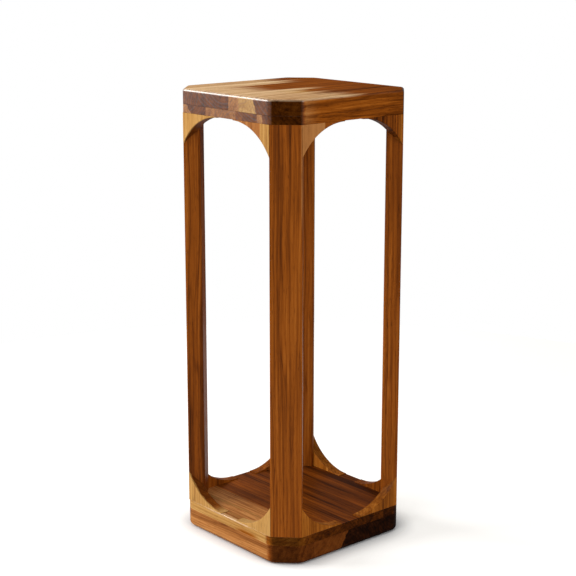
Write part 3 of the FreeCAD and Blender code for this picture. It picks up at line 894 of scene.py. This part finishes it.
def felt_tree():
    """Builds the tree of felt pads: a disc at each corner, with short fibres round the rim at its foot."""
    group = bpy.data.node_groups.new("felt_pads", "GeometryNodeTree")
    nodes = Nodes(group)
    names = {}
    for name, kind in FELT_PORTS.items():
        names[name] = group.interface.new_socket(name, in_out="INPUT", socket_type=kind).identifier
    group.interface.new_socket("Pads", in_out="OUTPUT", socket_type="NodeSocketGeometry")
    port = {name: nodes.node("NodeGroupInput", output=name) for name in FELT_PORTS}

    disc = felt_disc(nodes, port)
    fuzz = felt_fuzz(nodes, port, disc, -0.5 * port["Thickness"])
    pad = nodes.node("GeometryNodeJoinGeometry", None, {"Geometry": [disc, fuzz]})
    sockets = {"Size X": port["Spread"], "Size Y": port["Spread"], "Vertices X": 2, "Vertices Y": 2}
    corners = nodes.node("GeometryNodeMeshGrid", None, sockets, "Mesh")
    stand = nodes.node("ShaderNodeCombineXYZ", None, {"Z": 0.5 * port["Thickness"]})
    stood = nodes.node("GeometryNodeSetPosition", None, {"Geometry": corners, "Offset": stand})
    pads = nodes.node("GeometryNodeInstanceOnPoints", None, {"Points": stood, "Instance": pad})
    whole = nodes.node("GeometryNodeRealizeInstances", None, {"Geometry": pads})
    felted = nodes.node("GeometryNodeSetMaterial", None, {"Geometry": whole, "Material": port["Felt"]})
    nodes.node("NodeGroupOutput", None, {"Pads": felted})
    return group, names


def add_pads():
    """Makes the four felt pads under the base. Their fuzz stays below the wood that they are let into."""
    low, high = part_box(PADS[0])
    middle = (low + high) / 2
    group, names = felt_tree()
    sizes = {
        "Radius": (high.x - low.x) / 2,
        "Thickness": high.z - low.z,
        "Spread": -2 * middle.x,
        "Fuzz Height": 0.6 * MM,
        "Fibre Length": 0.6 * MM,
        "Fibre Radius": 0.02 * MM,
        "Fibre Density": 1.1e7,
        "Seed": 4,
        "Felt": felt_finish(),
    }
    piece = bpy.data.objects.new("felt_pads", bpy.data.meshes.new("felt_pads"))
    bpy.context.scene.collection.objects.link(piece)
    maker = piece.modifiers.new("felt_pads", "NODES")
    maker.node_group = group
    for name, size in sizes.items():
        maker[names[name]] = size
    shown = piece.evaluated_get(bpy.context.evaluated_depsgraph_get())
    made = bpy.data.meshes.new_from_object(shown)
    piece.modifiers.clear()
    piece.data = made
    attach(piece, "root")
    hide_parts(*PADS)


# The focal length and the sensor's width, in millimetres.
LENS = 91.21
SENSOR = 36.0
CAMERA_PLACE = (-1.27474, -1.45740, 0.80751)
CAMERA_PITCH = math.radians(13.53)
CAMERA_YAW = math.radians(49.05)


def add_camera():
    """Sets the camera where the photograph was taken from."""
    camera = bpy.data.cameras.new("camera")
    camera.lens = LENS
    camera.sensor_width = SENSOR
    viewer = bpy.data.objects.new("camera", camera)
    viewer.location = CAMERA_PLACE
    viewer.rotation_euler = (math.pi / 2 - CAMERA_PITCH, 0, CAMERA_YAW - math.pi / 2)
    bpy.context.scene.collection.objects.link(viewer)
    bpy.context.scene.camera = viewer


def ray(finish, sort):
    return finish.node("ShaderNodeLightPath", output=f"Is {sort} Ray")


def white_for(finish, gloss_share):
    """Gives 1 where the eye meets a backdrop, bare or through glass, and a share of it in a gloss."""
    seen = ray(finish, "Camera").most(ray(finish, "Transmission"))
    return seen.most(ray(finish, "Glossy") * gloss_share)


FLOOR_RADIUS = 1.1
FLOOR_SIDES = 96
FLOOR_PAPER = paint(209, 208, 208)
# The paper's own glow, which makes it show white, and the share of it that a gloss shows.
FLOOR_GLOW = 0.53
FLOOR_GLOW_TINT = paint(255, 253, 246)
FLOOR_GLOSS = 0.12
# The glow fades close to the base, which paints a contact shadow where it stands.
SHADE_REACH = 0.03
SHADE_DEPTH = 1.7
SHADE_SAMPLES = 16


def paper_finish():
    """Pale paper that shows white and holds a shadow."""
    finish = Finish(bpy.data.materials.new("pale_paper"))
    paper = finish.node("ShaderNodeBsdfDiffuse", None, {"Color": FLOOR_PAPER})
    settings = {"samples": SHADE_SAMPLES}
    open_sky = finish.node("ShaderNodeAmbientOcclusion", settings, {"Distance": SHADE_REACH}, "AO")
    seen = white_for(finish, FLOOR_GLOSS) * (1 - SHADE_DEPTH * (1 - open_sky)).most(0.0)
    sockets = {"Color": finish.scaled(FLOOR_GLOW_TINT[:3], seen), "Strength": FLOOR_GLOW}
    glow = finish.node("ShaderNodeEmission", None, sockets)
    finish.output(finish.node("ShaderNodeAddShader", None, {0: paper, 1: glow}))
    return finish.owner


def add_floor():
    """Lays a round sheet of pale paper under the table."""
    mesh = bpy.data.meshes.new("floor")
    disc = bmesh.new()
    bmesh.ops.create_circle(disc, cap_ends=True, radius=FLOOR_RADIUS, segments=FLOOR_SIDES)
    disc.to_mesh(mesh)
    disc.free()
    mesh.materials.append(paper_finish())
    floor = bpy.data.objects.new("floor", mesh)
    bpy.context.scene.collection.objects.link(floor)


WORLD_WHITE = paint(255, 255, 255)
WORLD_LIGHT = 0.36
# A white sweep behind the table and to its left shows in its gloss. A dark flag stands opposite.
SWEEP_WAY = (-0.8, 0.6, 0.0)
SWEEP_RISE = (-0.35, 0.75)
FLAG_GLOSS = 0.08


def light_world():
    """Makes a world that shows white, lights softly, and shows the sweep and the flag in a gloss."""
    bpy.context.scene.world = bpy.data.worlds.new("studio")
    finish = Finish(bpy.context.scene.world)
    way = finish.coordinates("Generated")
    sweep = finish.vector("DOT_PRODUCT", way, SWEEP_WAY, "Value").rise(*SWEEP_RISE)
    white = white_for(finish, FLAG_GLOSS + (1 - FLAG_GLOSS) * sweep)
    strength = white.most(WORLD_LIGHT * (1 - ray(finish, "Glossy")))
    finish.output(finish.node("ShaderNodeBackground", None, {"Color": WORLD_WHITE, "Strength": strength}))


@dataclass
class Softbox:
    """A square soft lamp: its place, its width and its power in watts."""

    place: tuple
    width: float
    power: float


SOFTBOXES = {
    "soft_back_left": Softbox((-1.25, 1.55, 1.25), 1.3, 56),
    "soft_left": Softbox((-2.0, -0.6, 1.6), 1.2, 15),
    "soft_front": Softbox((0.3, -2.3, 1.7), 1.4, 25),
}
LAMP_AIM = (0, 0, 0.32)


def hang_softboxes():
    """Hangs the soft lamps, turned to the middle of the table."""
    for name, softbox in SOFTBOXES.items():
        lamp = bpy.data.lights.new(name, "AREA")
        lamp.shape = "SQUARE"
        lamp.size = softbox.width
        lamp.energy = softbox.power
        way = Vector(LAMP_AIM) - Vector(softbox.place)
        box = bpy.data.objects.new(name, lamp)
        box.location = softbox.place
        box.rotation_euler = way.to_track_quat("-Z", "Y").to_euler()
        bpy.context.scene.collection.objects.link(box)


finish_woodwork()
finish_fasteners()
add_pads()
add_floor()
light_world()
hang_softboxes()
add_camera()
bpy.context.scene.view_settings.view_transform = "Standard"
